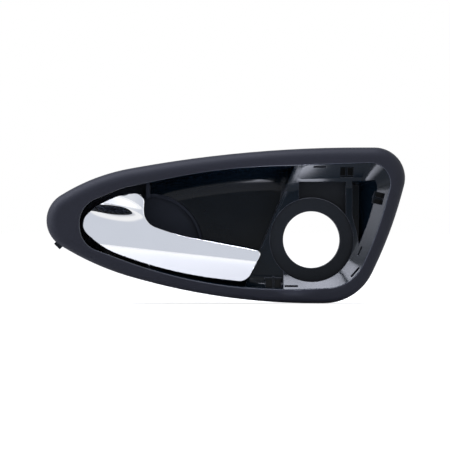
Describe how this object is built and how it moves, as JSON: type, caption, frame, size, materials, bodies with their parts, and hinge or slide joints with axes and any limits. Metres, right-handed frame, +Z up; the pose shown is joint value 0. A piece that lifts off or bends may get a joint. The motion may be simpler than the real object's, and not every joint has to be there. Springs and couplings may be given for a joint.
{
  "type": "car interior door handle",
  "caption": "Teardrop inner door handle: grained bezel with a glossy finger bowl, a sprung chrome pull lever and a ringed round opening for a switch.",
  "frame": {"origin": "on the axis of the round switch opening, in the plane of the door panel that the rim's back rests on", "axes": "+X along the door towards the wide end, +Y into the door, +Z up"},
  "size_m": [0.2299, 0.046, 0.1],
  "materials": {
    "bezel_plastic": "black, grained on the rim and glossy in the bowl",
    "matte_plastic": "matte black",
    "core_plastic": "matte black",
    "chrome": "bright chrome plating on plastic",
    "steel": "zinc plated",
    "rubber": "matte"
  },
  "bodies": {
    "housing": {"bezel": "bezel_plastic", "switch_holder": "matte_plastic", "holder_screws": "steel", "lever_frame": "matte_plastic", "frame_screws": "steel", "rest_buffer": "rubber", "pivot_pin": "steel", "pin_retainer": "steel", "return_spring": "steel"},
    "lever": {"lever_cover": "chrome", "lever_core": "core_plastic"}
  },
  "joints": [
    {"name": "lever_pivot", "type": "hinge", "parent": "housing", "child": "lever", "pos_m": [-0.131, 0.007, -0.0035], "axis": [0, 0, -1], "range_deg": [0, 25], "stiffness_Nm_per_rad": 0.2, "springref_deg": -28.65, "deforming": ["return_spring"]}
  ]
}
